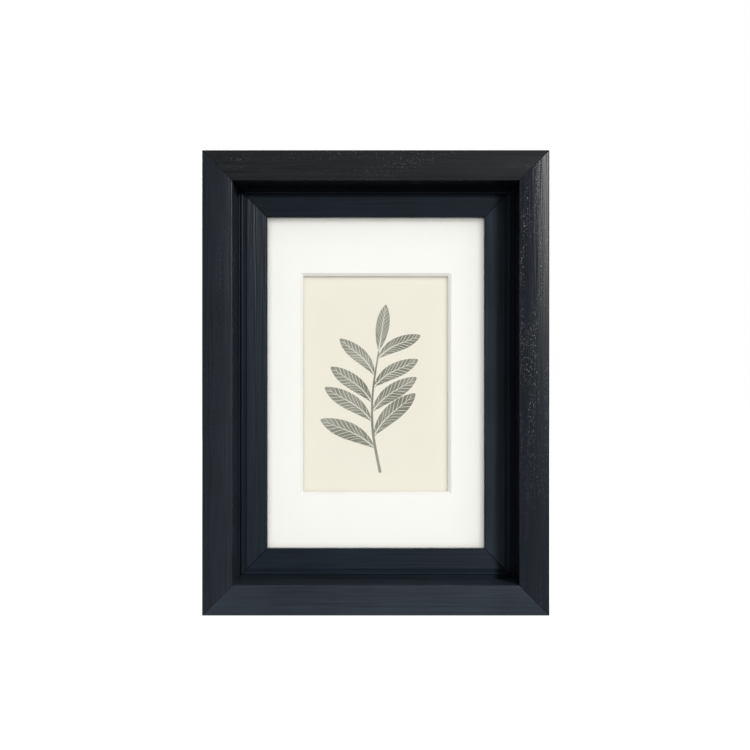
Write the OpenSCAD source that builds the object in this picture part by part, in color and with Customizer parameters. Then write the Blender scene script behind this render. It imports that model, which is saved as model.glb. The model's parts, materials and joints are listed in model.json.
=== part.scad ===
// Shadow box: a deep black frame around a recessed slip, with glass, a window
// mount, a print and a backing board that load from the back.
// X is the width, Y the depth with the front at -Y, and Z the height.
// Lengths are in millimetres and angles in degrees.
// A "depth" below is measured back from the crown of the outer rails.

/* [Contents] */
// Width of the glass, window mount and backing board
insert_w = 152; // [120:1:300]
// Height of the glass, window mount and backing board
insert_h = 228; // [190:1:400]
// Width of the print
print_w = 101.6; // [60:0.1:115]
// Height of the print
print_h = 152.4; // [90:0.1:180]
// How far the window mount laps over each side of the print
lap_w = 2.05; // [1:0.05:5]
// How far it laps over the print's top and bottom
lap_h = 3.7; // [1:0.05:8]
// Thickness of the print
print_t = 0.3; // [0.2:0.1:0.5]
// Thickness of the glass
glass_t = 2; // [1.5:0.1:3]
// Thickness of the window mount
mount_t = 2; // [1.2:0.1:3]
// Width of the strips that hold the window mount off the print
spacer_w = 8; // [5:0.5:12]
// Thickness of those strips
spacer_t = 2; // [1.5:0.5:8]
// Thickness of the card behind the print
card_t = 1.5; // [1:0.1:3]
// Thickness of the backing board
board_t = 3; // [2:0.5:5]
// Radius of the finger notch in the backing board
notch_r = 9; // [6:0.5:12]

/* [Outer rails] */
// Width of a rail's front face
rail_w = 19.5; // [14:0.5:30]
// Height of the face's crown over its edges
rail_camber = 0.9; // [0.2:0.1:1.5]
// Radius of the rails' front edges
rail_arris = 0.8; // [0.3:0.1:1.5]
// Depth of the recess behind the slip, where the hardware sits
back_recess = 5.5; // [3.2:0.1:10]

/* [Slip] */
// Depth of the well, from the rails' crown to the top of the slip's bead
well_depth = 22; // [12:1:50]
// Width of the slip that shows, from its bead to the sight edge
slip_w = 17; // [14:0.5:25]
// Width of the low ledge between the bead and the well's wall
ledge_w = 2.75; // [1.5:0.25:5]
// How far that ledge lies below the top of the bead
ledge_drop = 2; // [1.5:0.5:4]
// Width of the fine bead on the middle of that ledge
fine_bead_w = 0.6; // [0.4:0.1:0.8]
// Width of the bead
bead_w = 1.2; // [0.8:0.1:2]
// Depth of the groove beside the bead
groove_d = 1.1; // [0.7:0.1:1.5]
// Width of the groove's flat floor
groove_w = 1.3; // [1:0.1:2]
// Width of the groove's slope up to the slip's face
groove_slope_w = 1.4; // [0.8:0.1:2]
// How far the slip's face starts below the top of the bead
face_drop = 0.3; // [0:0.1:0.8]
// How far the slip's face falls on its way to the sight edge
face_fall = 2; // [0.5:0.5:4]
// Width of the 45 degree bevel at the sight edge
sight_bevel = 0.7; // [0.3:0.1:1.2]
// Thickness of the lip at the sight edge
lip_t = 4; // [3:0.5:8]
// Width of the lip over the glass
lip_w = 4.3; // [2.5:0.1:6]

/* [Fits] */
// Room around the glass and the boards in the slip's rebate
rebate_clear = 0.75; // [0.4:0.05:1.5]
// Gap under the glass and the boards, which stand on the lower rebate wall
seat_gap = 0.1; // [0.05:0.05:0.3]
// Gap between neighbouring layers
layer_gap = 0.1; // [0.05:0.05:0.3]
// Gap between the slip and the outer rails
slip_gap = 0.1; // [0.05:0.05:0.3]
// Glue line in every mitre
mitre_gap = 0.1; // [0.05:0.05:0.3]
// How far the board lies below the slip's back face
board_recess = 0.2; // [0:0.1:0.5]

/* [Turn buttons] */
// Distance between a button's pivot and the centre of its tip
button_reach = 11; // [9:0.5:14]
// Radius of a button's two round ends
button_r = 4.2; // [3.5:0.1:4.5]
// Thickness of a button
button_t = 1.2; // [0.8:0.1:1.2]
// Gap between a button and the slip
button_gap = 0.2; // [0.1:0.05:0.3]
// Distance between a pivot and the rebate's wall
pivot_inset = 5.5; // [5:0.1:7]
// Distance of a short rail's pivots from the rebate's corners
corner_short = 29; // [18:1:29]
// Distance of a long rail's pivots from the rebate's corners
corner_long = 49; // [18:1:60]
// Radius of the screws' shoulder, on which the buttons turn
shoulder_r = 1.5; // [1.2:0.1:1.8]
// Running clearance around the shoulder
shoulder_clear = 0.08; // [0.03:0.01:0.1]
// Radius of the screws' heads
head_r = 3.1; // [2.6:0.1:3.4]
// Height of the screws' heads
head_h = 1.6; // [1.2:0.1:1.8]
// Radius of the screws' shanks in the wood
shank_r = 1.25; // [1:0.05:1.4]
// Length of the shanks in the wood
shank_l = 9; // [6:0.5:10]

/* [Hangers and fixings] */
// Length of a sawtooth hanger
hanger_l = 42; // [34:1:50]
// Height of a sawtooth hanger
hanger_h = 8; // [6:0.5:9]
// Thickness of a hanger's steel
hanger_t = 0.9; // [0.6:0.1:1.2]
// Stand-off of the hanger's toothed middle
hanger_rise = 1.2; // [0.8:0.1:1.6]
// Length of a hanger's flat end
hanger_end = 6; // [5:0.5:8]
// Number of teeth
teeth = 9; // [5:2:11]
// Radius of the hangers' nails
nail_r = 0.8; // [0.6:0.1:1]
// Length of those nails in the wood
nail_l = 8; // [5:0.5:10]
// Radius of those nails' heads
nail_head_r = 1.9; // [1.5:0.1:2.2]
// Radius of the pins between the slip and the outer rails
pin_r = 0.7; // [0.5:0.05:0.9]
// Distance from a button's pivot to the pin beyond it
pin_step = 11; // [4:0.5:12]
// How far those pins go into the outer rails
pin_bite = 7; // [4:0.5:10]
// Length of one leg of a V-nail
vnail_leg = 5; // [4:0.5:6]
// Thickness of a V-nail's steel
vnail_t = 0.5; // [0.4:0.1:0.8]
// Height of a V-nail
vnail_h = 8; // [5:0.5:10]
// Radius of the bumper pads
bumper_r = 4; // [3:0.5:5]
// Height of the bumper pads
bumper_h = 1.5; // [1:0.1:3]

/* [Hidden] */

$fn = 48;
eps = 0.01;         // overlap of a cutting tool past the face it cuts
arc_steps = 8;      // steps in an edge's quarter round
camber_steps = 16;  // steps across the outer rail's crowned face

// Openings, from the inside out
rebate_w = insert_w + 2 * rebate_clear;
rebate_h = insert_h + 2 * rebate_clear;
sight_w = rebate_w - 2 * lip_w;
sight_h = rebate_h - 2 * lip_w;
well_w = sight_w + 2 * (slip_w + ledge_w);
well_h = sight_h + 2 * (slip_w + ledge_w);
frame_w = well_w + 2 * rail_w;
frame_h = well_h + 2 * rail_w;
slip_outer_w = well_w - 2 * slip_gap;
slip_outer_h = well_h - 2 * slip_gap;
slip_sight_u = ledge_w + slip_w - slip_gap;  // width of a slip rail at its lip
slip_base = slip_sight_u - lip_w;            // width of a slip rail behind its lip

// Depths, from the front back
ledge_depth = well_depth + ledge_drop;
face_depth = well_depth + face_drop;
sight_depth = face_depth + face_fall;
lip_depth = sight_depth + lip_t;
glass_front = lip_depth + layer_gap;
mount_front = glass_front + glass_t + layer_gap;
window_w = print_w - 2 * lap_w;  // at the back of the window's bevel
window_h = print_h - 2 * lap_h;
spacer_front = mount_front + mount_t;
print_front = spacer_front + spacer_t + layer_gap;
card_front = print_front + print_t;
board_front = card_front + card_t + layer_gap;
slip_back = board_front + board_t + board_recess;
rail_depth = slip_back + back_recess;
total_depth = rail_depth + bumper_h;

// Places
front_y = -total_depth / 2;
stack_z = frame_h / 2 - rebate_clear + seat_gap;  // middle height of the layers
pivot_u = slip_base - pivot_inset;
pivot_short = rebate_w / 2 - corner_short;
pivot_long = rebate_h / 2 - corner_long;
pin_depth = (lip_depth + slip_back) / 2;
head_gap = 0.1;    // gap between a button and its screw's head
nail_head_h = 0.7;
vnail_sink = 0.3;  // how far a V-nail's end lies below the surface
outer_vnail_us = [0.35, 0.75] * rail_w;  // V-nails' places across the mitres
slip_vnail_us = [slip_base / 2];
bumper_inset = rail_w / 2 + 2 * bumper_r;  // clear of the mitres

BLACK = [0.035, 0.038, 0.044];
STEEL = [0.62, 0.63, 0.65];
ZINC = [0.72, 0.70, 0.62];
WHITE = [0.94, 0.93, 0.89];

// ---- Placing ------------------------------------------------------------

// Puts a child that was drawn for the bottom of a frame, centred on the
// origin, on the side named, and lifts the frame onto its lower edge.
module on_side(side) {
    turn = side == "bottom" ? 0 : side == "top" ? 180 : side == "left" ? 90 : -90;
    translate([0, front_y, frame_h / 2]) rotate([0, turn, 0]) children();
}

// Length of a frame's side, and its reach from the middle to the outside
function is_short(side) = side == "top" || side == "bottom";
function side_l(side, w, h) = is_short(side) ? w : h;
function side_r(side, w, h) = (is_short(side) ? h : w) / 2;

// A box given by its middle in X and Z, its front depth and its sizes
module slab(w, depth, t, h, z = 0, x = 0) {
    translate([x - w / 2, front_y + depth, z - h / 2]) cube([w, t, h]);
}

// ---- Rails --------------------------------------------------------------

// Points of a quarter round about c in an outline of [depth, width] points
function round_out(c, r) =
    [for (i = [0:arc_steps]) let (a = 90 * i / arc_steps)
        [c[0] - r * sin(a), c[1] - r * cos(a)]];
function round_in(c, r) =
    [for (i = [0:arc_steps]) let (a = 90 * i / arc_steps)
        [c[0] - r * cos(a), c[1] + r * sin(a)]];

function camber_depth(u) = rail_camber * pow(2 * u / rail_w - 1, 2);

// Outline of an outer rail: square, with a crowned face and eased front edges
outer_outline = concat(
    [[rail_depth, 0]],
    round_out([camber_depth(rail_arris) + rail_arris, rail_arris], rail_arris),
    [for (i = [1:camber_steps - 1])
        let (u = rail_arris + (rail_w - 2 * rail_arris) * i / camber_steps)
        [camber_depth(u), u]],
    round_in([camber_depth(rail_arris) + rail_arris, rail_w - rail_arris], rail_arris),
    [[rail_depth, rail_w]]);

bead_u = ledge_w - slip_gap;
face_u = bead_u + bead_w + groove_w + groove_slope_w;

// Front half of a bead of width w, with its top at the given depth and its middle at u
function bead(depth, u, w) =
    concat(round_out([depth + w / 2, u], w / 2), round_in([depth + w / 2, u], w / 2));

// Outline of a slip rail: ledge, beads, groove, sloping face, lip and rebate
slip_outline = concat(
    [[slip_back, 0], [ledge_depth, 0], [ledge_depth, (bead_u - fine_bead_w) / 2]],
    bead(ledge_depth - fine_bead_w, bead_u / 2, fine_bead_w),
    [[ledge_depth, (bead_u + fine_bead_w) / 2], [ledge_depth, bead_u]],
    bead(well_depth, bead_u + bead_w / 2, bead_w),
    [[well_depth + groove_d, bead_u + bead_w],
     [well_depth + groove_d, bead_u + bead_w + groove_w],
     [face_depth, face_u]],
    [[sight_depth, slip_sight_u - sight_bevel],
     [sight_depth + sight_bevel, slip_sight_u],
     [lip_depth, slip_sight_u], [lip_depth, slip_base], [slip_back, slip_base]]);

// A rail of the given outline for one side of a w by h frame, with mitred ends
module mitred_rail(side, outline, w, h, band) {
    l = side_l(side, w, h);
    end = l / 2 - mitre_gap / sqrt(2);
    translate([0, 0, -side_r(side, w, h)]) intersection() {
        translate([-l / 2, 0, 0])
            rotate([90, 0, 90]) linear_extrude(l) polygon(outline);
        translate([0, rail_depth + 1, 0]) rotate([90, 0, 0])
            linear_extrude(rail_depth + 2)
                polygon([[-end, 0], [end, 0], [end - band, band], [-end + band, band]]);
    }
}

module outer_rail(side) {
    color(BLACK) on_side(side) difference() {
        mitred_rail(side, outer_outline, frame_w, frame_h, rail_w);
        corner_nails(side, frame_w, frame_h, rail_depth, outer_vnail_us, true);
        side_pins(side);
    }
}

module slip_rail(side) {
    color(BLACK) on_side(side) difference() {
        mitred_rail(side, slip_outline, slip_outer_w, slip_outer_h, slip_sight_u);
        corner_nails(side, slip_outer_w, slip_outer_h, slip_back, slip_vnail_us, true);
        side_pins(side);
        for (at = pivots(side)) screw_hole(side, at);
        if (has_hanger(side)) for (end = [-1, 1]) hanger_nail_hole(side, end);
    }
}

// ---- Fixings inside the frame -------------------------------------------

// Plan of a V-nail, its point towards the inside of the corner
module v_plan() {
    polygon([[0, 0], [-vnail_leg, 0], [-vnail_leg, -vnail_t], [-vnail_t, -vnail_t],
             [-vnail_t, -vnail_leg], [0, -vnail_leg]]);
}

// V-nails in the left mitre of one side, at the widths us, sunk below the
// back face, or the slots for them, which start at its surface
module mitre_nails(side, w, h, back, us, slots) {
    top = slots ? eps : -vnail_sink;
    deep = vnail_sink + vnail_h;
    for (u = us)
        translate([-side_l(side, w, h) / 2 + u, back - deep, -side_r(side, w, h) + u])
            rotate([90, 0, 0]) mirror([0, 0, 1])
                translate([vnail_leg / 4, vnail_leg / 4, 0]) linear_extrude(deep + top) v_plan();
}

// The V-nails or slots at both ends of one side
module corner_nails(side, w, h, back, us, slots) {
    mitre_nails(side, w, h, back, us, slots);
    mirror([1, 0, 0]) mitre_nails(side, w, h, back, us, slots);
}

// All of a frame's V-nails, each once
module v_nails(w, h, back, us) {
    color(STEEL) for (side = ["bottom", "top"])
        on_side(side) corner_nails(side, w, h, back, us, false);
}

// The two pins of one side, from the rebate's wall into the outer rail
module side_pins(side) {
    r = side_r(side, rebate_w, rebate_h);
    far = side_r(side, well_w, well_h);
    for (x = [-1, 1] * (pivots(side)[1] + pin_step))
        translate([x, pin_depth, -far - pin_bite]) cylinder(h = far - r + pin_bite, r = pin_r);
}

module slip_pins() {
    color(STEEL) for (side = ["bottom", "top", "left", "right"]) on_side(side) side_pins(side);
}

// ---- Turn buttons -------------------------------------------------------

// Pivots' places along a side
function pivots(side) = [-1, 1] * (is_short(side) ? pivot_short : pivot_long);

// Moves a child to a pivot on the slip's back face, with +Z pointing back
module at_pivot(side, along) {
    translate([along, slip_back, -side_r(side, slip_outer_w, slip_outer_h) + pivot_u])
        rotate([-90, 0, 0]) children();
}

module screw_hole(side, along) {
    at_pivot(side, along) translate([0, 0, -shank_l]) cylinder(h = shank_l + eps, r = shank_r);
}

// Shoulder screw with a domed head and a cross recess
module screw() {
    head_z = button_gap + button_t + head_gap;
    cross_l = 1.15 * head_r;
    cross_w = 0.8;
    cross_d = 0.55 * head_h;
    difference() {
        rotate_extrude() polygon(concat(
            [[0, -shank_l], [0.3, -shank_l], [shank_r, -shank_l + 2.5], [shank_r, 0],
             [shoulder_r, 0], [shoulder_r, head_z], [head_r, head_z]],
            [for (i = [1:arc_steps]) let (a = 90 * i / arc_steps)
                [head_r * cos(a), head_z + 0.4 + (head_h - 0.4) * sin(a)]]));
        for (turn = [0, 90]) rotate(turn)
            translate([-cross_l / 2, -cross_w / 2, head_z + head_h - cross_d])
                cube([cross_l, cross_w, cross_d + 1]);
    }
}

module turn_button_screws() {
    color(ZINC) for (side = ["bottom", "top", "left", "right"]) on_side(side)
        for (at = pivots(side)) at_pivot(side, at) screw();
}

// A button that lies along its rail with its tip towards the rail's end
module turn_button(side, along) {
    dimple_r = 1.8;
    dimple_h = 0.5;
    color(ZINC) on_side(side) at_pivot(side, along)
        mirror([along < 0 ? 1 : 0, 0, 0]) translate([0, 0, button_gap]) {
            difference() {
                union() {
                    cylinder(h = button_t, r = button_r);
                    translate([button_reach, 0, 0]) cylinder(h = button_t, r = button_r);
                    translate([0, -button_r, 0]) cube([button_reach, 2 * button_r, button_t]);
                    translate([button_reach, 0, button_t - eps])
                        cylinder(h = dimple_h + eps, r1 = dimple_r, r2 = dimple_r - dimple_h);
                }
                translate([0, 0, -eps])
                    cylinder(h = button_t + 2 * eps, r = shoulder_r + shoulder_clear);
            }
        }
}

// ---- Hangers ------------------------------------------------------------

function has_hanger(side) = side == "top" || side == "left";

hanger_mid_l = hanger_l - 2 * hanger_end - 2 * hanger_rise;
nail_x = hanger_l / 2 - hanger_end / 2;

// Moves a child to the middle of a side's back face, with +Z pointing back
// and +Y towards the outside of the frame
module at_hanger(side) {
    translate([0, slip_back, -side_r(side, slip_outer_w, slip_outer_h) + slip_base / 2])
        rotate([-90, 0, 0]) children();
}

// Bent strip with a raised middle, and teeth on the edge that faces the middle
module hanger(side) {
    step = hanger_mid_l / teeth;
    half = hanger_l / 2;
    mid = hanger_mid_l / 2;
    color(STEEL) on_side(side) at_hanger(side) difference() {
        translate([0, hanger_h / 2, 0]) rotate([90, 0, 0]) linear_extrude(hanger_h) polygon([
            [-half, 0], [-half + hanger_end, 0], [-mid, hanger_rise], [mid, hanger_rise],
            [half - hanger_end, 0], [half, 0], [half, hanger_t],
            [half - hanger_end, hanger_t], [mid, hanger_rise + hanger_t],
            [-mid, hanger_rise + hanger_t], [-half + hanger_end, hanger_t], [-half, hanger_t]]);
        for (i = [0:teeth - 1])
            translate([-mid + step * (i + 0.5), -hanger_h / 2, -1])
                linear_extrude(hanger_rise + hanger_t + 2)
                    polygon([[-0.4 * step, -1], [0.4 * step, -1], [0.4 * step, 0],
                             [0, 0.75 * step], [-0.4 * step, 0]]);
        for (end = [-1, 1]) translate([end * nail_x, 0, -1])
            cylinder(h = hanger_t + 2, r = nail_r);
    }
}

module hanger_nail_hole(side, end) {
    at_hanger(side) translate([end * nail_x, 0, -nail_l]) cylinder(h = nail_l + eps, r = nail_r);
}

module hanger_nails() {
    color(STEEL) for (side = ["top", "left"]) on_side(side) at_hanger(side)
        for (end = [-1, 1]) translate([end * nail_x, 0, 0]) rotate_extrude() polygon([
            [0, -nail_l], [nail_r, -nail_l + 1.5], [nail_r, hanger_t],
            [nail_head_r, hanger_t], [nail_head_r, hanger_t + 0.4 * nail_head_h],
            [0.6 * nail_head_r, hanger_t + nail_head_h], [0, hanger_t + nail_head_h]]);
}

// ---- Bumper pads --------------------------------------------------------

module bumper_pads() {
    color([0.12, 0.12, 0.12]) for (s = [-1, 1])
        translate([s * (frame_w / 2 - bumper_inset), front_y + rail_depth, rail_w / 2])
            rotate([-90, 0, 0]) rotate_extrude() polygon(concat(
                [[0, 0], [bumper_r, 0]],
                [for (i = [0:arc_steps]) let (a = 90 * i / arc_steps)
                    [bumper_r - 0.5 * bumper_h * (1 - cos(a)), 0.5 * bumper_h * (1 + sin(a))]],
                [[0, bumper_h]]));
}

// ---- Layers -------------------------------------------------------------

module glass_pane() {
    color([0.75, 0.86, 0.84, 0.35]) slab(insert_w, glass_front, glass_t, insert_h, stack_z);
}

// Prism whose width in the plane of its outline grows towards the front
module bevel_prism(w, l) {
    grow = mount_t + 2 * eps;
    translate([0, 0, -l / 2]) linear_extrude(l) polygon([
        [-w / 2 - grow, -eps], [w / 2 + grow, -eps],
        [w / 2 - eps, mount_t + eps], [-w / 2 + eps, mount_t + eps]]);
}

// Board with a window whose edges are bevelled at 45 degrees
module window_mount() {
    color(WHITE) difference() {
        slab(insert_w, mount_front, mount_t, insert_h, stack_z);
        translate([0, front_y + mount_front, stack_z]) intersection() {
            bevel_prism(window_w, insert_h);
            rotate([0, 90, 0]) bevel_prism(window_h, insert_w);
        }
    }
}

module spacer(side) {
    upright = !is_short(side);
    s = side == "top" || side == "right" ? 1 : -1;
    l = upright ? insert_h - 2 * spacer_w : insert_w;
    off = s * ((upright ? insert_w : insert_h) - spacer_w) / 2;
    color(WHITE) slab(upright ? spacer_w : l, spacer_front, spacer_t, upright ? l : spacer_w,
        stack_z + (upright ? 0 : off), upright ? off : 0);
}

module print_sheet() {
    color([0.89, 0.87, 0.80]) slab(print_w, print_front, print_t, print_h, stack_z);
}

module mount_card() {
    color(WHITE) slab(insert_w, card_front, card_t, insert_h, stack_z);
}

module backing_board() {
    color([0.30, 0.22, 0.15]) difference() {
        slab(insert_w, board_front, board_t, insert_h, stack_z);
        translate([0, front_y + board_front - 1, stack_z - insert_h / 2])
            rotate([-90, 0, 0]) cylinder(h = board_t + 2, r = notch_r);
    }
}

// ---- Nodes --------------------------------------------------------------

outer_rail("top");  // outer_rail_top
outer_rail("bottom");  // outer_rail_bottom
outer_rail("left");  // outer_rail_left
outer_rail("right");  // outer_rail_right
slip_rail("top");  // slip_rail_top
slip_rail("bottom");  // slip_rail_bottom
slip_rail("left");  // slip_rail_left
slip_rail("right");  // slip_rail_right
v_nails(frame_w, frame_h, rail_depth, outer_vnail_us);  // outer_v_nails
v_nails(slip_outer_w, slip_outer_h, slip_back, slip_vnail_us);  // slip_v_nails
slip_pins();
hanger("top");  // hanger_top
hanger("left");  // hanger_side
hanger_nails();
bumper_pads();
turn_button_screws();
turn_button("top", pivot_short);  // turn_button_top_left
turn_button("top", -pivot_short);  // turn_button_top_right
turn_button("bottom", -pivot_short);  // turn_button_bottom_left
turn_button("bottom", pivot_short);  // turn_button_bottom_right
turn_button("left", -pivot_long);  // turn_button_left_upper
turn_button("left", pivot_long);  // turn_button_left_lower
turn_button("right", pivot_long);  // turn_button_right_upper
turn_button("right", -pivot_long);  // turn_button_right_lower
glass_pane();
window_mount();
spacer("top");  // spacer_top
spacer("bottom");  // spacer_bottom
spacer("left");  // spacer_left
spacer("right");  // spacer_right
print_sheet();
mount_card();
backing_board();
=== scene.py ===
"""Looks of a black box frame with a recessed slip, glass, window mount, leaf print and backing board.

Every piece is in metres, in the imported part's own frame: X is the width, Y the depth with the front at -Y,
and Z the height. A "depth" is measured back from the front plane, and "u" runs from a rail's outer side
towards the middle of the frame.
"""

import json
import math

import bmesh
import bpy
from mathutils import Matrix, Vector, noise


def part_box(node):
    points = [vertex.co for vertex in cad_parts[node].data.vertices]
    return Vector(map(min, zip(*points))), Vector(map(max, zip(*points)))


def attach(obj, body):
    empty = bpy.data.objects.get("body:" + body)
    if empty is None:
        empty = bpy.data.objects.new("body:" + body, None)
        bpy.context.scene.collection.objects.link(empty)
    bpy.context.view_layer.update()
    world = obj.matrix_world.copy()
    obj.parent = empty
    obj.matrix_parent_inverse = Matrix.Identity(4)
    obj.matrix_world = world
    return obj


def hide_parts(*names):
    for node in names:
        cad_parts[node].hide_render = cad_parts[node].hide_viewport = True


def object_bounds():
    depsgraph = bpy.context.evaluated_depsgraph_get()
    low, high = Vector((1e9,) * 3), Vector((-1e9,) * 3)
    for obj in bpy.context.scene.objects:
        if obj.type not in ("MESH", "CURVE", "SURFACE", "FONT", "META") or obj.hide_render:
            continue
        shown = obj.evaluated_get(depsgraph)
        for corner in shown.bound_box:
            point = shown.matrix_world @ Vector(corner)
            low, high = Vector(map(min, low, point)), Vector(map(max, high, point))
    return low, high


MM = 0.001
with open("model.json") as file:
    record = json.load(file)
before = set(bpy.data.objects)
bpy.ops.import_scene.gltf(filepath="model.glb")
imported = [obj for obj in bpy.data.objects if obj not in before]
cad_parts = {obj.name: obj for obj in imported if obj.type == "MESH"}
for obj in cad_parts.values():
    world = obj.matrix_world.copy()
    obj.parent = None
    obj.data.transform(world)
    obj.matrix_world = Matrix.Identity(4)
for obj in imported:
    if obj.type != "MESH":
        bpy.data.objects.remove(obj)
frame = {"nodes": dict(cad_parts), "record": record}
cad_low, cad_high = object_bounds()

# ---- Sizes that the CAD frame gives ---------------------------------------------------------------


def edge(node, axis, high):
    """One side of a CAD node's box."""
    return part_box(node)[1 if high else 0][axis]


FRONT = cad_low.y
FRAME_W = cad_high.x - cad_low.x
FRAME_H = cad_high.z
MIDDLE_Z = FRAME_H / 2
RAIL_W = edge("outer_rail_bottom", 2, True)
RAIL_DEPTH = edge("outer_rail_bottom", 1, True) - FRONT
SLIP_W = edge("slip_rail_right", 0, True) - edge("slip_rail_left", 0, False)
SLIP_H = edge("slip_rail_top", 2, True) - edge("slip_rail_bottom", 2, False)
SLIP_LIP_U = edge("slip_rail_left", 0, True) - edge("slip_rail_left", 0, False)
WELL_DEPTH = edge("slip_rail_left", 1, False) - FRONT
SLIP_BACK = edge("slip_rail_left", 1, True) - FRONT
GLASS_LOW, GLASS_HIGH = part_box("glass_pane")
PRINT_LOW, PRINT_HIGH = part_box("print_sheet")

# Sizes of the mouldings that no box shows
CAMBER = 0.9 * MM
ARRIS = 0.8 * MM
BACK_ARRIS = 0.35 * MM
LEDGE_U = 2.65 * MM
LEDGE_DROP = 2.0 * MM
FINE_BEAD_W = 0.6 * MM
BEAD_W = 1.2 * MM
GROOVE_D = 1.1 * MM
GROOVE_W = 1.3 * MM
GROOVE_SLOPE_W = 1.4 * MM
FACE_DROP = 0.3 * MM
FACE_FALL = 2.0 * MM
SIGHT_BEVEL = 0.7 * MM
LIP_W = 4.3 * MM
LAYER_GAP = 0.1 * MM
MITRE_GAP = 0.1 * MM
MITRE_EASE = 0.22 * MM   # how far the rails' ends are eased at the mitres

GRAIN_STEP = 0.3 * MM    # between the brushed surface's points, across a rail
RING_STEP = 3.0 * MM     # and along it
GRAIN_DEPTH = 0.07 * MM  # of the brush marks

LACQUER, RAW = 0, 1      # material slots of a rail


# ---- Materials -------------------------------------------------------------------------------------


class Shader:
    """A material under construction: each method adds a node and returns its output."""

    def __init__(self, name):
        self.material = bpy.data.materials.new(name)
        self.material.use_nodes = True
        self.tree = self.material.node_tree
        self.tree.nodes.clear()
        self.out = self.add("ShaderNodeOutputMaterial")
        self.surface = self.add("ShaderNodeBsdfPrincipled")
        self.tree.links.new(self.surface.outputs[0], self.out.inputs["Surface"])

    def add(self, kind, **inputs):
        node = self.tree.nodes.new(kind)
        for name, value in inputs.items():
            self.put(node.inputs[name.replace("_", " ")], value)
        return node

    def put(self, socket, value):
        if isinstance(value, bpy.types.NodeSocket):
            self.tree.links.new(value, socket)
        else:
            socket.default_value = value

    def set(self, **inputs):
        for name, value in inputs.items():
            self.put(self.surface.inputs[name.replace("_", " ")], value)

    def place(self, scale):
        """Position on the object in metres, times a scale for each axis."""
        where = self.add("ShaderNodeTexCoord")
        return self.add("ShaderNodeMapping", Vector=where.outputs["Object"], Scale=scale).outputs[0]

    def noise(self, scale, detail=3.0, rough=0.55, warp=0.0):
        node = self.add("ShaderNodeTexNoise", Vector=self.place(scale), Scale=1.0, Detail=detail,
                        Roughness=rough, Distortion=warp)
        return node.outputs["Fac"]

    def cells(self, scale, feature="F1"):
        node = self.add("ShaderNodeTexVoronoi", Vector=self.place(scale), Scale=1.0)
        node.feature = feature
        return node.outputs["Distance"]

    def math(self, kind, a, b=0.0, clamp=False):
        node = self.add("ShaderNodeMath")
        node.operation = kind
        node.use_clamp = clamp
        self.put(node.inputs[0], a)
        self.put(node.inputs[1], b)
        return node.outputs[0]

    def ramp(self, value, low, high, to_low=0.0, to_high=1.0):
        """value from low to high, stretched over to_low to to_high and held beyond."""
        node = self.add("ShaderNodeMapRange", Value=value, From_Min=low, From_Max=high, To_Min=to_low,
                        To_Max=to_high)
        return node.outputs[0]

    def mix(self, share, a, b):
        node = self.add("ShaderNodeMix")
        node.data_type = "RGBA"
        self.put(node.inputs[0], share)
        for socket, colour in ((node.inputs[6], a), (node.inputs[7], b)):
            self.put(socket, colour if isinstance(colour, bpy.types.NodeSocket) else (*colour, 1.0))
        return node.outputs[2]

    def bump(self, height, depth, strength=1.0, below=None):
        node = self.add("ShaderNodeBump", Height=height, Distance=depth, Strength=strength)
        if below is not None:
            self.put(node.inputs["Normal"], below)
        return node.outputs[0]


def along(axis, slow, fast):
    """Scales for a texture that is drawn out along one axis."""
    return tuple(slow if i == axis else fast for i in range(3))


def lacquer(name, axis, tint, glint_share):
    """Satin black lacquer over wood that was brushed along one axis, with painted glints: light specks on the
    front face that stand in for highlights, raised a little by bump.
    """
    s = Shader(name)
    streak = s.noise(along(axis, 14, 900), detail=4, rough=0.6)
    fine = s.noise(along(axis, 26, 1500), detail=2)
    cloud = s.noise((22, 22, 22), detail=2)
    dots = s.ramp(s.noise(along(axis, 900, 2000), detail=1), 0.64, 0.70)
    patch = s.ramp(s.noise(along(axis, 16, 120), detail=2), 0.46, 0.60)
    where = s.add("ShaderNodeSeparateXYZ", Vector=s.place((1, 1, 1)))
    face = s.ramp(where.outputs[1], FRONT + GLINT_DEPTH, FRONT + 2 * GLINT_DEPTH, glint_share, 0.0)
    upper = s.ramp(where.outputs[2], 0.3 * FRAME_H, 0.75 * FRAME_H, 0.2, 1.0)
    # Painted glints: light specks on the front face, most near the top, where the light catches; the bump
    # below raises them a little.
    painted_glint = s.math("MULTIPLY", s.math("MULTIPLY", dots, patch), s.math("MULTIPLY", face, upper))
    tone = s.math("ADD", s.math("MULTIPLY", streak, 0.45), s.math("MULTIPLY", cloud, 0.25))
    tone = s.math("ADD", tone, s.math("MULTIPLY", fine, 0.30))
    ground = s.mix(s.ramp(tone, 0.36, 0.64), tuple(c * 0.66 for c in tint), tuple(c * 1.34 for c in tint))
    s.set(Base_Color=s.mix(painted_glint, ground, GLINT_TINT), IOR=1.5, Specular_IOR_Level=0.12,
          Roughness=s.ramp(tone, 0.36, 0.64, 0.36, 0.28))
    relief = s.bump(streak, 0.14 * MM, 0.6)
    relief = s.bump(fine, 0.07 * MM, 0.6, relief)
    s.set(Normal=s.bump(painted_glint, 0.08 * MM, 0.6, relief))
    return s.material


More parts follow.
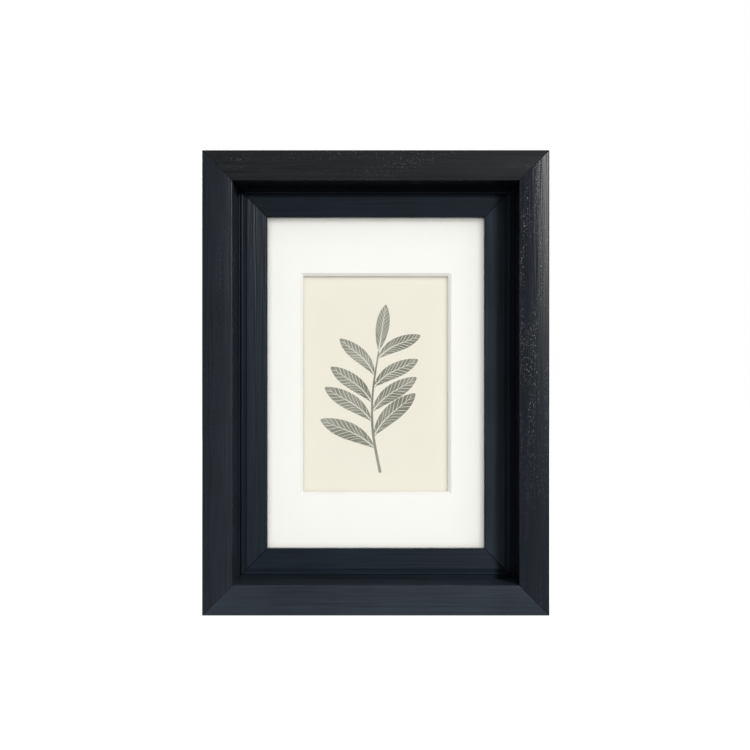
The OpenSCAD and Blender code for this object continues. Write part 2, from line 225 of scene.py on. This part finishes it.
def raw_wood(name, axis):
    """Planed pale timber with black paint that ran over its edges."""
    s = Shader(name)
    rings = s.noise(along(axis, 5, 260), detail=4, rough=0.6, warp=0.6)
    fibre = s.noise(along(axis, 90, 2600), detail=3)
    pores = s.ramp(s.noise(along(axis, 120, 1900), detail=2), 0.62, 0.72)
    wood = s.mix(s.ramp(rings, 0.35, 0.68), (0.50, 0.335, 0.185), (0.335, 0.195, 0.095))
    wood = s.mix(s.ramp(fibre, 0.3, 0.7, 0.0, 0.35), wood, (0.60, 0.44, 0.27))
    wood = s.mix(s.math("MULTIPLY", pores, 0.55), wood, (0.15, 0.085, 0.04))
    xyz = s.add("ShaderNodeSeparateXYZ", Vector=s.place((1, 1, 1)))
    side = s.math("SUBTRACT", s.math("ABSOLUTE", xyz.outputs[0]), FRAME_W / 2)
    tall = s.math("SUBTRACT", s.math("ABSOLUTE", s.math("SUBTRACT", xyz.outputs[2], MIDDLE_Z)), FRAME_H / 2)
    rim = s.math("MAXIMUM", side, tall)
    outer = s.ramp(rim, -2.4 * MM, -0.4 * MM)
    inner = s.ramp(rim, -RAIL_W + 1.6 * MM, -RAIL_W + 0.3 * MM)
    ragged = s.ramp(s.noise(along(axis, 140, 420), detail=4), 0.25, 0.75, 0.28, 0.9)
    paint = s.ramp(s.math("SUBTRACT", s.math("MAXIMUM", outer, inner), ragged), -0.03, 0.05)
    s.set(Base_Color=s.mix(paint, wood, (0.012, 0.013, 0.015)), Roughness=s.ramp(paint, 0, 1, 0.72, 0.45))
    s.set(Normal=s.bump(s.math("ADD", rings, fibre), 0.09 * MM, 0.5))
    return s.material


def zinc(name, tint, scratch_axis=0):
    """Plated steel with faint clouding and rub marks."""
    s = Shader(name)
    cloud = s.noise((260, 260, 260), detail=3)
    rub = s.noise(along(scratch_axis, 300, 5200), detail=2)
    s.set(Base_Color=s.mix(s.ramp(cloud, 0.3, 0.7), tuple(c * 0.78 for c in tint), tint), Metallic=1.0,
          Roughness=s.ramp(rub, 0.3, 0.7, 0.26, 0.42))
    s.set(Normal=s.bump(rub, 0.02 * MM, 0.5))
    return s.material


def board(name, light, dark, fleck, rough=0.85, weave=900):
    """Pressed board or paper: soft clouding, fibres and a few flecks."""
    s = Shader(name)
    cloud = s.noise((70, 70, 70), detail=4)
    fibre = s.noise((weave, weave, weave), detail=4, rough=0.65)
    flecks = s.ramp(s.noise((2600, 900, 1500), detail=1), 0.70, 0.76)
    tone = s.math("ADD", s.math("MULTIPLY", cloud, 0.3), s.math("MULTIPLY", fibre, 0.7))
    colour = s.mix(s.ramp(tone, 0.36, 0.64), dark, light)
    s.set(Base_Color=s.mix(s.math("MULTIPLY", flecks, 0.6), colour, fleck), Roughness=rough,
          Specular_IOR_Level=0.3)
    s.set(Normal=s.bump(fibre, 0.03 * MM, 0.45))
    return s.material


def ink():
    """Grey-green printing ink, washed unevenly like watercolour."""
    s = Shader("leaf_ink")
    wash = s.noise((34, 34, 34), detail=3, warp=0.4)
    grainy = s.noise((700, 700, 700), detail=3)
    tone = s.math("ADD", s.math("MULTIPLY", wash, 0.75), s.math("MULTIPLY", grainy, 0.25))
    s.set(Base_Color=s.mix(s.ramp(tone, 0.38, 0.64), (0.195, 0.198, 0.160), (0.335, 0.338, 0.290)),
          Roughness=0.8, Specular_IOR_Level=0.25, Normal=s.bump(grainy, 0.02 * MM, 0.4))
    return s.material


def foam():
    """Foam-centred board: white paper over a fine closed foam."""
    s = Shader("foam_board")
    pits = s.cells((2400, 2400, 2400))
    s.set(Base_Color=s.mix(s.ramp(pits, 0.1, 0.6), (0.80, 0.80, 0.78), (0.90, 0.90, 0.885)), Roughness=0.8,
          Specular_IOR_Level=0.3, Normal=s.bump(pits, 0.05 * MM, 0.5))
    return s.material


def rubber():
    s = Shader("black_rubber")
    skin = s.noise((1500, 1500, 1500), detail=3)
    s.set(Base_Color=s.mix(s.ramp(skin, 0.35, 0.65), (0.012, 0.012, 0.012), (0.030, 0.030, 0.031)),
          Roughness=s.ramp(skin, 0.3, 0.7, 0.55, 0.72), Normal=s.bump(skin, 0.05 * MM, 0.5))
    return s.material


def glass():
    """Clear float glass."""
    s = Shader("picture_glass")
    s.set(Base_Color=(0.975, 0.990, 0.982, 1.0), Roughness=0.0, IOR=1.5, Transmission_Weight=1.0)
    return s.material


# Each length of moulding: its lacquer's tint, and its share of painted glints. The tints are set side by side
# so that the main view has the right shades, so they hold painted light and shade: lit and shaded copies of
# one black lacquer, each lighter or darker, bluer or greyer, for how the light falls on its side.
SIDE_SHADES_AND_GLINTS = {
    ("outer", "top"): ((0.0138, 0.0157, 0.0170), 0.25),
    ("outer", "bottom"): ((0.0250, 0.0310, 0.0410), 0.0),
    ("outer", "left"): ((0.0158, 0.0194, 0.0254), 0.10),
    ("outer", "right"): ((0.0106, 0.0134, 0.0182), 1.00),
    ("slip", "top"): ((0.0092, 0.0130, 0.0180), 0.0),
    ("slip", "bottom"): ((0.0112, 0.0166, 0.0238), 0.0),
    ("slip", "left"): ((0.0122, 0.0172, 0.0246), 0.0),
    ("slip", "right"): ((0.0222, 0.0285, 0.0378), 0.0),
}
# Colour of the painted glints: light specks that stand in for highlights.
GLINT_TINT = (0.21, 0.22, 0.235)
GLINT_DEPTH = 1.2 * MM     # painted glints lie on the front face only, and most in its upper part, where the light catches


def side_axis(side):
    """The axis that a side's length runs along."""
    return 0 if side in ("top", "bottom") else 2


# One lacquer for each length, in its tint of painted light and shade, with its share of painted glints.
LACQUERS = {(part, side): lacquer("%s_lacquer_%s" % (part, side), side_axis(side), *coat)
            for (part, side), coat in SIDE_SHADES_AND_GLINTS.items()}
RAW_WOODS = {axis: raw_wood("raw_wood_" + "xyz"[axis], axis) for axis in (0, 2)}
BRIGHT_ZINC = zinc("bright_zinc", (0.66, 0.67, 0.68))
YELLOW_ZINC = zinc("yellow_zinc", (0.72, 0.62, 0.42), scratch_axis=2)
MOUNT_WHITE = board("mount_board_face", (0.925, 0.918, 0.893), (0.905, 0.897, 0.870), (0.89, 0.88, 0.85))
MOUNT_CORE = board("mount_board_core", (0.93, 0.925, 0.905), (0.87, 0.86, 0.83), (0.84, 0.82, 0.78),
                   weave=2200)
PAPER = board("print_paper", (0.835, 0.803, 0.705), (0.810, 0.776, 0.680), (0.78, 0.75, 0.65), weave=1300)
CARD = board("undermount_card", (0.70, 0.66, 0.57), (0.60, 0.56, 0.47), (0.40, 0.34, 0.26))
HARDBOARD = board("hardboard", (0.235, 0.135, 0.070), (0.150, 0.082, 0.042), (0.36, 0.24, 0.14), rough=0.55,
                  weave=1500)
FOAM = foam()
RUBBER = rubber()
GLASS = glass()
INK = ink()


# ---- Meshes ----------------------------------------------------------------------------------------


def finished(name, bm, materials, smooth_deg=32):
    """A new object from a bmesh, with shading that is smooth below an angle."""
    bmesh.ops.recalc_face_normals(bm, faces=bm.faces)
    mesh = bpy.data.meshes.new(name)
    bm.to_mesh(mesh)
    bm.free()
    return shaded(name, mesh, materials, smooth_deg)


def shaded(name, mesh, materials, smooth_deg):
    for material in materials:
        mesh.materials.append(material)
    mesh.polygons.foreach_set("use_smooth", [True] * len(mesh.polygons))
    mesh.set_sharp_from_angle(angle=math.radians(smooth_deg))
    piece = bpy.data.objects.new(name, mesh)
    bpy.context.scene.collection.objects.link(piece)
    return weighted(piece)


def weighted(piece):
    """Keeps flat faces looking flat beside the rounded edges."""
    modifier = piece.modifiers.new("flat_faces", "WEIGHTED_NORMAL")
    modifier.keep_sharp = True
    return piece


def solid_of(node):
    """A welded bmesh copy of a CAD node, its flat faces whole again."""
    bm = bmesh.new()
    bm.from_mesh(frame["nodes"][node].data)
    bmesh.ops.remove_doubles(bm, verts=bm.verts, dist=1e-6)
    bmesh.ops.dissolve_limit(bm, angle_limit=math.radians(0.4), verts=bm.verts, edges=bm.edges)
    return bm


def eased(node, material, width, body, sharp_deg=40, core=None):
    """Stands for a CAD node: the same solid with its sharp edges rounded over.
    With core, faces that slope between two axes take that material."""
    bm = solid_of(node)
    sharp = [e for e in bm.edges if len(e.link_faces) == 2
             and e.calc_face_angle(0.0) > math.radians(sharp_deg)]
    if core is not None:
        for face in bm.faces:
            face.material_index = 1 if 0.3 < abs(face.normal.y) < 0.95 else 0
    bmesh.ops.bevel(bm, geom=sharp, offset=width, offset_type="OFFSET", segments=2, profile=0.5,
                    affect="EDGES", clamp_overlap=True)
    piece = finished(node + "_piece", bm, [material] + ([core] if core else []))
    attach(piece, body)
    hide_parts(node)
    return piece


# ---- Rails -----------------------------------------------------------------------------------------

TURNS = {"bottom": 0, "left": 90, "top": 180, "right": -90}


def on_side(side):
    """Moves what is drawn for the frame's bottom side, about its middle, to another side."""
    return Matrix.Translation((0, FRONT, MIDDLE_Z)) @ Matrix.Rotation(math.radians(TURNS[side]), 4, "Y")


def round_over(depth, u, radius, inner, steps=8):
    """Quarter round about (depth, u), from a rail's outer side to its front or, with inner, from its front
    towards the middle of the frame."""
    points = []
    for i in range(steps + 1):
        a = math.pi / 2 * i / steps
        if inner:
            points.append((depth - radius * math.cos(a), u + radius * math.sin(a)))
        else:
            points.append((depth - radius * math.sin(a), u - radius * math.cos(a)))
    return points


def spread(start, stop, step):
    """Values from start to stop, evenly spaced and about a step apart."""
    count = max(1, round(abs(stop - start) / step))
    return [start + (stop - start) * i / count for i in range(count + 1)]


def outer_outline():
    """Runs of (material, brush marks, points) round an outer rail, from its back."""

    def crown(u):
        return CAMBER * (2 * u / RAIL_W - 1) ** 2

    edge_depth = crown(ARRIS) + ARRIS
    across = spread(ARRIS, RAIL_W - ARRIS, GRAIN_STEP)
    wall = spread(RAIL_DEPTH - BACK_ARRIS, edge_depth, 4 * MM)
    back = spread(RAIL_W - BACK_ARRIS, BACK_ARRIS, 2 * MM)
    return [
        (LACQUER, 0, [(d, 0) for d in wall]),
        (LACQUER, 0, round_over(edge_depth, ARRIS, ARRIS, False)),
        (LACQUER, 1, [(crown(u), u) for u in across]),
        (LACQUER, 0, round_over(edge_depth, RAIL_W - ARRIS, ARRIS, True)),
        (LACQUER, 0, [(d, RAIL_W) for d in reversed(wall)]),
        (LACQUER, 0, [(RAIL_DEPTH - BACK_ARRIS, RAIL_W), (RAIL_DEPTH, RAIL_W - BACK_ARRIS)]),
        (RAW, 0, [(RAIL_DEPTH, u) for u in back]),
        (LACQUER, 0, [(RAIL_DEPTH, BACK_ARRIS), (RAIL_DEPTH - BACK_ARRIS, 0)]),
    ]


def slip_outline():
    """The same for the slip: ledge with a fine bead, bead, groove, sloping face, lip and rebate."""
    ledge = WELL_DEPTH + LEDGE_DROP
    floor = WELL_DEPTH + GROOVE_D
    floor_u = LEDGE_U + BEAD_W
    face_u = floor_u + GROOVE_W + GROOVE_SLOPE_W
    face = WELL_DEPTH + FACE_DROP
    sight = face + FACE_FALL
    lip = GLASS_LOW.y - LAYER_GAP - FRONT
    base = SLIP_LIP_U - LIP_W
    last_u = SLIP_LIP_U - SIGHT_BEVEL
    sight_top = sight + SIGHT_BEVEL

    def bead(depth, u, width):
        centre = depth + width / 2, u, width / 2
        return round_over(*centre, False, 6) + round_over(*centre, True, 6)[1:]

    slope = [(face + (sight - face) * (u - face_u) / (last_u - face_u), u)
             for u in spread(face_u, last_u, GRAIN_STEP)]
    fine = bead(ledge - FINE_BEAD_W, LEDGE_U / 2, FINE_BEAD_W)
    main = bead(WELL_DEPTH, LEDGE_U + BEAD_W / 2, BEAD_W)
    return [
        (LACQUER, 0, [(SLIP_BACK - BACK_ARRIS, 0), (ledge, 0), (ledge, fine[0][1])]),
        (LACQUER, 0, [(ledge, fine[0][1])] + fine + [(ledge, fine[-1][1])]),
        (LACQUER, 0, [(ledge, fine[-1][1]), (ledge, LEDGE_U)]),
        (LACQUER, 0, [(ledge, LEDGE_U)] + main + [(floor, floor_u)]),
        (LACQUER, 0, [(floor, floor_u), (floor, floor_u + GROOVE_W)]),
        (LACQUER, 0, [(floor, floor_u + GROOVE_W), (face, face_u)]),
        (LACQUER, 1, slope),
        (LACQUER, 0, [slope[-1], (sight_top, SLIP_LIP_U), (lip, SLIP_LIP_U), (lip, base)]),
        (RAW, 0, [(lip, base), (SLIP_BACK - BACK_ARRIS, base), (SLIP_BACK, base - BACK_ARRIS)]),
        (RAW, 0, [(SLIP_BACK, u) for u in spread(base - BACK_ARRIS, BACK_ARRIS, 2 * MM)]),
        (RAW, 0, [(SLIP_BACK, BACK_ARRIS), (SLIP_BACK - BACK_ARRIS, 0)]),
    ]


def brush_marks(x, u, seed):
    """Depth of the brushed grain, from 0 to 1, in lines that run along the rail."""
    wide = noise.noise(Vector((x / (55 * MM), u / (1.1 * MM), seed)))
    narrow = noise.noise(Vector((x / (22 * MM), u / (0.62 * MM), seed + 9.7)))
    return min(1.0, max(0.0, 0.5 + 0.75 * wide + 0.45 * narrow))


def sweep(bm, outline, length, reach, seed):
    """Sweeps an outline along the frame's bottom side, with mitred ends that are eased at the front."""
    around = []
    for material, marks, points in outline:
        for point in points[:-1]:
            around.append((*point, marks, material))
    half = length / 2 - MITRE_GAP / math.sqrt(2)
    inside = spread(-1, 1, RING_STEP / half)
    rings = []
    for share, ease in [(-1, 0)] + [(share, MITRE_EASE) for share in inside] + [(1, 0)]:
        ring = []
        for depth, u, marks, material in around:
            x = share * (half - u - ease)
            if marks:
                depth += GRAIN_DEPTH * brush_marks(x, u, seed)
            if not ease and depth < WELL_DEPTH + 2 * LEDGE_DROP:
                depth += MITRE_EASE
            ring.append(bm.verts.new((x, depth, u - reach)))
        rings.append(ring)
    count = len(around)
    for one, two in zip(rings, rings[1:]):
        for i in range(count):
            k = (i + 1) % count
            face = bm.faces.new((one[i], one[k], two[k], two[i]))
            face.material_index = around[i][3]
    for ring in (rings[0], rings[-1]):
        bm.faces.new(ring).material_index = RAW


def cutters():
    """Slots for the V-nails, open at the back, and holes for the pins."""
    bm = bmesh.new()
    for node in ("outer_v_nails", "slip_v_nails", "slip_pins"):
        part = solid_of(node)
        if node != "slip_pins":
            back = max(v.co.y for v in part.verts)
            for v in part.verts:
                if v.co.y > back - LAYER_GAP:
                    v.co.y += 1 * MM
        else:
            for v in part.verts:
                if abs(v.co.x) < SLIP_W / 2 and abs(v.co.z - MIDDLE_Z) < SLIP_H / 2:
                    inward = Vector((-v.co.x, 0, MIDDLE_Z - v.co.z))
                    flat = Vector((inward.x, 0, 0)) if is_side_pin(v.co) else Vector((0, 0, inward.z))
                    v.co += flat.normalized() * 0.5 * MM
        mesh = bpy.data.meshes.new("cutter")
        part.to_mesh(mesh)
        part.free()
        bm.from_mesh(mesh)
        bpy.data.meshes.remove(mesh)
    bmesh.ops.recalc_face_normals(bm, faces=bm.faces)
    for face in bm.faces:
        face.material_index = RAW
    mesh = bpy.data.meshes.new("cutters")
    bm.to_mesh(mesh)
    bm.free()
    tool = bpy.data.objects.new("cutters", mesh)
    bpy.context.scene.collection.objects.link(tool)
    return tool


def is_side_pin(point):
    """True if a point is nearer to the left or right rail than to the top or bottom one."""
    return FRAME_W / 2 - abs(point.x) < FRAME_H / 2 - abs(point.z - MIDDLE_Z)


def rails(part, outline, width, height, tool):
    for index, side in enumerate(TURNS):
        axis = side_axis(side)
        level = axis == 0
        bm = bmesh.new()
        sweep(bm, outline, width if level else height, (height if level else width) / 2, 3.1 * index)
        bm.transform(on_side(side))
        rail = finished(part + "_" + side, bm, [LACQUERS[part, side], RAW_WOODS[axis]])
        cut(rail, tool)
        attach(rail, "frame")
        node = ("outer_rail_" if part == "outer" else "slip_rail_") + side
        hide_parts(node)


def cut(piece, tool):
    """Cuts the tool's solids out of a piece, and keeps only the result."""
    modifier = piece.modifiers.new("cut", "BOOLEAN")
    modifier.operation = "DIFFERENCE"
    modifier.solver = "EXACT"
    modifier.object = tool
    bpy.context.view_layer.update()
    mesh = bpy.data.meshes.new_from_object(piece.evaluated_get(bpy.context.evaluated_depsgraph_get()))
    piece.modifiers.clear()
    piece.data = mesh
    mesh.set_sharp_from_angle(angle=math.radians(32))
    weighted(piece)


def build_frame():
    tool = cutters()
    rails("outer", outer_outline(), FRAME_W, FRAME_H, tool)
    rails("slip", slip_outline(), SLIP_W, SLIP_H, tool)
    bpy.data.objects.remove(tool)


# ---- Leaf print ------------------------------------------------------------------------------------

INK_T = 0.04 * MM
STEM_T = 0.02 * MM       # the stem lies under the leaves where they cross it
VEIN_W = 0.44 * MM

# A plain upright sprig in the middle of the window: leaves left and right by turns up the stem, and
# one at its end. It stays clear of the window's edge, and neighbouring leaves stay clear of each
# other. Lengths in this block are millimetres from the print's middle.
STEM = [(3, -60), (-2, -32), (-2, -6), (2, 22)]
SIDE_LEAVES = 8
FIRST_LEAF = 0.2         # share of the stem below the first leaf
LEAF_LENGTH = (42, 32)   # of the first leaf and of the last
LEAF_SLIM = 0.14         # half-width as a share of the length
LEAF_TURN = 52           # degrees between a side leaf and the stem
LEAF_BOW = 2             # of a side leaf, towards the stem
LEAF_FULL = 0.95         # how far its widest place is from its base
LEAF_VEINS = 10          # on each side of the midrib
VEIN_ROOTS = (0.04, 0.90, 1.12)  # first place on the midrib, their spread, and how it widens
VEIN_LEAN = (0.25, 0.15)  # towards the tip: at the leaf's base, and how much less at its tip
VEIN_WAVE = 0.014
STEM_W = (2.0, 1.0)      # at its foot and at its top
STEM_STEPS = 8           # between two given points
TIP_POWER = 0.78         # a leaf's tip is round below this and sharp above it
VEIN_STEPS = 8           # along a side vein
MARGIN_STEPS = 3         # along a leaf's margin, between two side veins


def curve_through(points, steps):
    """A smooth run of points through a few given ones."""
    padded = [points[0]] + points + [points[-1]]
    run = []
    for quad in zip(padded, padded[1:], padded[2:], padded[3:]):
        a, b, c, d = (Vector(p) for p in quad)
        for i in range(steps):
            t = i / steps
            curve = (2 * a - 5 * b + 4 * c - d) * t ** 2 + (3 * b - a - 3 * c + d) * t ** 3
            run.append((2 * b + (c - a) * t + curve) / 2)
    return run + [Vector(points[-1])]


def inked(bm, outline, thickness=INK_T):
    """A thin closed plate of ink on the print."""
    middle = (PRINT_LOW.z + PRINT_HIGH.z) / 2
    top, low = ([bm.verts.new((p.x, y, middle + p.y)) for p in outline]
                for y in (PRINT_LOW.y - thickness, PRINT_LOW.y + thickness / 2))
    bm.faces.new(top)
    bm.faces.new(low)
    for i in range(len(top)):
        k = (i + 1) % len(top)
        bm.faces.new((top[i], top[k], low[k], low[i]))


def leaf(bm, base, tip, half_w, bow, seed):
    """The inked cells of one leaf, between its paper-coloured midrib and side veins."""
    start, end = Vector(base) * MM, Vector(tip) * MM
    run = end - start
    side = Vector((-run.y, run.x)).normalized()
    crest = LEAF_FULL / (LEAF_FULL + TIP_POWER)
    widest = crest ** LEAF_FULL * (1 - crest) ** TIP_POWER

    def rib(t):
        sway = math.sin(math.pi * t) + 0.3 * math.sin(2 * math.pi * t)
        return start + run * t + side * sway * bow * MM

    def point(t, share, hand):
        t = min(max(t, 0.0), 1.0)
        way = (rib(min(1.0, t + 0.01)) - rib(max(0.0, t - 0.01))).normalized()
        gap = VEIN_W * 0.7 * (1 - t) ** 0.5
        reach = half_w * MM * t ** LEAF_FULL * (1 - t) ** TIP_POWER / widest
        return rib(t) + Vector((-way.y, way.x)) * hand * (gap + max(reach - gap, 0) * share)

    def vein(root, share, hand):
        """How far along the leaf a side vein is, at a share of the way out."""
        lean = (VEIN_LEAN[0] - VEIN_LEAN[1] * root) * min(1.0, 5 * root) * min(1.0, 6 * (1 - root))
        wave = VEIN_WAVE * noise.noise(Vector((root * 40, share * 1.5, seed + hand)))
        return root + (lean * share ** 0.75 + wave * share) * (0 < root < 1)

    for hand in (-1, 1):
        shift = 0.35 * (hand > 0)
        first, reach, widening = VEIN_ROOTS
        inner = [first + reach * ((i + shift) / LEAF_VEINS) ** widening for i in range(LEAF_VEINS)]
        roots = [0.0] + inner + [1.0]
        for low, high in zip(roots, roots[1:]):
            low_side, high_side = [], []
            for j in range(VEIN_STEPS + 1):
                share = j / VEIN_STEPS
                gap = VEIN_W / run.length * (0.62 - 0.2 * share)
                a, b = vein(low, share, hand) + gap, vein(high, share, hand) - gap
                if a < min(b, 0.995):
                    low_side.append(point(a, share, hand))
                    high_side.append(point(b, share, hand))
            if len(low_side) > 2:
                a, b = vein(low, 1, hand), vein(high, 1, hand)
                margin = [point(a + (b - a) * k / MARGIN_STEPS, 1, hand) for k in range(1, MARGIN_STEPS)]
                inked(bm, low_side + margin + high_side[::-1])


def stem(bm):
    line = curve_through(STEM, STEM_STEPS)
    left, right = [], []
    for i, point in enumerate(line):
        way = (line[min(len(line) - 1, i + 1)] - line[max(0, i - 1)]).normalized()
        half = (STEM_W[0] + (STEM_W[1] - STEM_W[0]) * i / (len(line) - 1)) / 2
        out = Vector((-way.y, way.x)) * half
        left.append((point + out) * MM)
        right.append((point - out) * MM)
    inked(bm, left + right[::-1], STEM_T)


def sprig_leaves():
    """Base, tip, half-width and bow of each leaf, by one rule."""
    line = curve_through(STEM, STEM_STEPS)
    leaves = []
    for i in range(SIDE_LEAVES + 1):
        share = i / SIDE_LEAVES
        place = round((FIRST_LEAF + (1 - FIRST_LEAF) * share) * (len(line) - 1))
        way = (line[min(place + 1, len(line) - 1)] - line[place - 1]).normalized()
        hand = 0 if i == SIDE_LEAVES else (-1) ** i
        length = LEAF_LENGTH[0] + (LEAF_LENGTH[1] - LEAF_LENGTH[0]) * share
        tip = line[place] + Matrix.Rotation(math.radians(LEAF_TURN * hand), 2) @ way * length
        leaves.append((line[place], tip, LEAF_SLIM * length, -hand * LEAF_BOW))
    return leaves


def build_print():
    bm = bmesh.new()
    for seed, shape in enumerate(sprig_leaves()):
        leaf(bm, *shape, seed)
    stem(bm)
    sprig = finished("leaf_sprig", bm, [INK])
    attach(sprig, "print_set")


# ---- Boards, glass and hardware ---------------------------------------------------------------------


def painted(node, material):
    """Gives a CAD node that stays its material."""
    slots = frame["nodes"][node].data.materials
    slots.clear()
    slots.append(material)


def build_layers():
    eased("window_mount", MOUNT_WHITE, 0.12 * MM, "window_set", sharp_deg=30, core=MOUNT_CORE)
    for side in TURNS:
        eased("spacer_" + side, FOAM, 0.15 * MM, "window_set")
    painted("print_sheet", PAPER)
    eased("mount_card", CARD, 0.15 * MM, "print_set")
    eased("backing_board", HARDBOARD, 0.35 * MM, "back")
    pane = eased("glass_pane", GLASS, 0.15 * MM, "glazing")
    pane.visible_shadow = False
    pane.visible_diffuse = False


def build_hardware():
    for node in ("hanger_top", "hanger_side"):
        eased(node, BRIGHT_ZINC, 0.10 * MM, "frame", sharp_deg=25)
    eased("hanger_nails", BRIGHT_ZINC, 0.08 * MM, "frame")
    eased("turn_button_screws", YELLOW_ZINC, 0.08 * MM, "frame")
    eased("bumper_pads", RUBBER, 0.10 * MM, "frame")
    for node, body in turn_buttons():
        eased(node, YELLOW_ZINC, 0.16 * MM, body, sharp_deg=35)
    for node in ("outer_v_nails", "slip_v_nails", "slip_pins"):
        painted(node, BRIGHT_ZINC)


def turn_buttons():
    """Turn buttons' nodes with their bodies."""
    found = []
    for body, nodes in frame["record"]["behaviour"]["bodies"].items():
        found += [(node, body) for node in nodes if node.startswith("turn_button_") and body != "frame"]
    return found


# ---- Stage, light and camera ------------------------------------------------------------------------

CAMERA_DISTANCE = 0.640      # from the front plane
LENS = 47.86                 # on a 36 mm sensor
SHIFT = (-0.001, 0.0105)     # the frame sits a little low and right in the picture
KEY_WAY = (0.62, -1.0, 0.35)  # towards the key light, from the middle of the frame's front
KEY_DISTANCE = 2.6
KEY_SIZE = 0.48
KEY_POWER = 67
FILL = 0.36                  # grey light from all round, on matt surfaces
GLOSS_LOW = 0.75             # and what gloss mirrors of it, from below
GLOSS_HIGH = 0.05            # and from above
SOFT_WAY = (0.20, -1.0, 0.20)  # towards the broad soft box for the pale layers
SOFT_DISTANCE = 1.8
SOFT_SIZE = 3.4
SOFT_POWER = 63
REAR_WAY = (-0.5, 1.0, 0.6)    # towards the soft box behind the frame
REAR_DISTANCE = 2.2
REAR_SIZE = 1.4
REAR_POWER = 34
LAMP_TINT = (1.0, 0.985, 0.96)
BACKDROP = 1.0               # what the camera sees of the world
GLOSS_SPAN = (-0.40, 0.0)    # heights over which the mirrored light falls from low to high
GLOSS_TINT = (0.80, 0.93, 1.0, 1)
WHITE = (1, 1, 1, 1)
FLOOR_GLOW = 0.9             # the floor's own light, which keeps it pale
FLOOR_GREY = 0.35


def build_stage():
    s = Shader("white_floor")
    glow = s.add("ShaderNodeEmission", Color=WHITE, Strength=FLOOR_GLOW)
    matt = s.add("ShaderNodeBsdfDiffuse", Color=(FLOOR_GREY, FLOOR_GREY, FLOOR_GREY, 1))
    both = s.add("ShaderNodeAddShader")
    s.tree.links.new(glow.outputs[0], both.inputs[0])
    s.tree.links.new(matt.outputs[0], both.inputs[1])
    s.tree.links.new(both.outputs[0], s.out.inputs["Surface"])
    s.tree.nodes.remove(s.surface)
    bm = bmesh.new()
    bmesh.ops.create_grid(bm, x_segments=1, y_segments=1, size=6.0)
    floor = finished("floor", bm, [s.material])
    floor.location.z = -0.05 * MM
    floor.visible_diffuse = False
    floor.visible_glossy = False
    floor.visible_transmission = False


def mirrored_light(tree):
    """Strength of the world in glossy surfaces: more from below than from above."""
    where = tree.nodes.new("ShaderNodeTexCoord")
    height = tree.nodes.new("ShaderNodeSeparateXYZ")
    tree.links.new(where.outputs["Generated"], height.inputs[0])
    gloss = tree.nodes.new("ShaderNodeMapRange")
    gloss.inputs["From Min"].default_value = GLOSS_SPAN[0]
    gloss.inputs["From Max"].default_value = GLOSS_SPAN[1]
    gloss.inputs["To Min"].default_value = GLOSS_LOW
    gloss.inputs["To Max"].default_value = GLOSS_HIGH
    tree.links.new(height.outputs[2], gloss.inputs["Value"])
    return gloss.outputs[0]


def background(tree, colour, strength):
    back = tree.nodes.new("ShaderNodeBackground")
    back.inputs["Color"].default_value = colour
    if isinstance(strength, bpy.types.NodeSocket):
        tree.links.new(strength, back.inputs["Strength"])
    else:
        back.inputs["Strength"].default_value = strength
    return back.outputs[0]


def for_rays(tree, seen, test, usual, special):
    """The usual background, and a special one for the rays that pass a test."""
    pick = tree.nodes.new("ShaderNodeMixShader")
    tree.links.new(seen.outputs[test], pick.inputs[0])
    tree.links.new(usual, pick.inputs[1])
    tree.links.new(special, pick.inputs[2])
    return pick.outputs[0]


def build_world():
    world = bpy.data.worlds.new("studio")
    bpy.context.scene.world = world
    world.use_nodes = True
    tree = world.node_tree
    tree.nodes.clear()
    seen = tree.nodes.new("ShaderNodeLightPath")
    shown = background(tree, WHITE, FILL)
    mirrored = background(tree, GLOSS_TINT, mirrored_light(tree))
    shown = for_rays(tree, seen, "Is Glossy Ray", shown, mirrored)
    shown = for_rays(tree, seen, "Is Camera Ray", shown, background(tree, WHITE, BACKDROP))
    out = tree.nodes.new("ShaderNodeOutputWorld")
    tree.links.new(shown, out.inputs["Surface"])


def lamp(name, way, distance, size, power):
    """A round soft box, aimed at the middle of the frame's front."""
    data = bpy.data.lights.new(name, "AREA")
    data.shape = "DISK"
    data.size = size
    data.energy = power
    data.color = LAMP_TINT
    light = bpy.data.objects.new(name, data)
    bpy.context.scene.collection.objects.link(light)
    towards = Vector(way).normalized()
    light.location = Vector((0, FRONT, MIDDLE_Z)) + towards * distance
    light.rotation_mode = "QUATERNION"
    light.rotation_quaternion = towards.to_track_quat("Z", "Y")
    return light


def falls_on(light, pieces, state):
    """Has a light fall only on these pieces (INCLUDE), or on all but these (EXCLUDE)."""
    group = bpy.data.collections.new(light.name + "_pieces")
    for piece in pieces:
        group.objects.link(piece)
    for row in group.collection_objects:
        row.light_linking.link_state = state
    light.light_linking.receiver_collection = group


def build_lamps():
    """A key light on the frame, a broad soft box on the pale layers behind the glass, and one at the back."""
    names = ["window_mount_piece", "leaf_sprig", "mount_card_piece"] + ["spacer_%s_piece" % s for s in TURNS]
    pale = [bpy.data.objects[name] for name in names] + [frame["nodes"]["print_sheet"]]
    falls_on(lamp("key", KEY_WAY, KEY_DISTANCE, KEY_SIZE, KEY_POWER), pale, "EXCLUDE")
    soft = lamp("soft", SOFT_WAY, SOFT_DISTANCE, SOFT_SIZE, SOFT_POWER)
    soft.visible_glossy = False
    falls_on(soft, pale, "INCLUDE")
    lamp("rear", REAR_WAY, REAR_DISTANCE, REAR_SIZE, REAR_POWER)


def build_camera():
    data = bpy.data.cameras.new("camera")
    data.lens = LENS
    data.sensor_width = 36
    data.shift_x, data.shift_y = SHIFT
    camera = bpy.data.objects.new("camera", data)
    bpy.context.scene.collection.objects.link(camera)
    camera.location = (0, FRONT - CAMERA_DISTANCE, MIDDLE_Z)
    camera.rotation_euler = (math.pi / 2, 0, 0)
    bpy.context.scene.camera = camera


bpy.context.scene.view_settings.view_transform = "Standard"
build_camera()
build_frame()
build_layers()
build_print()
build_hardware()
build_stage()
build_world()
build_lamps()
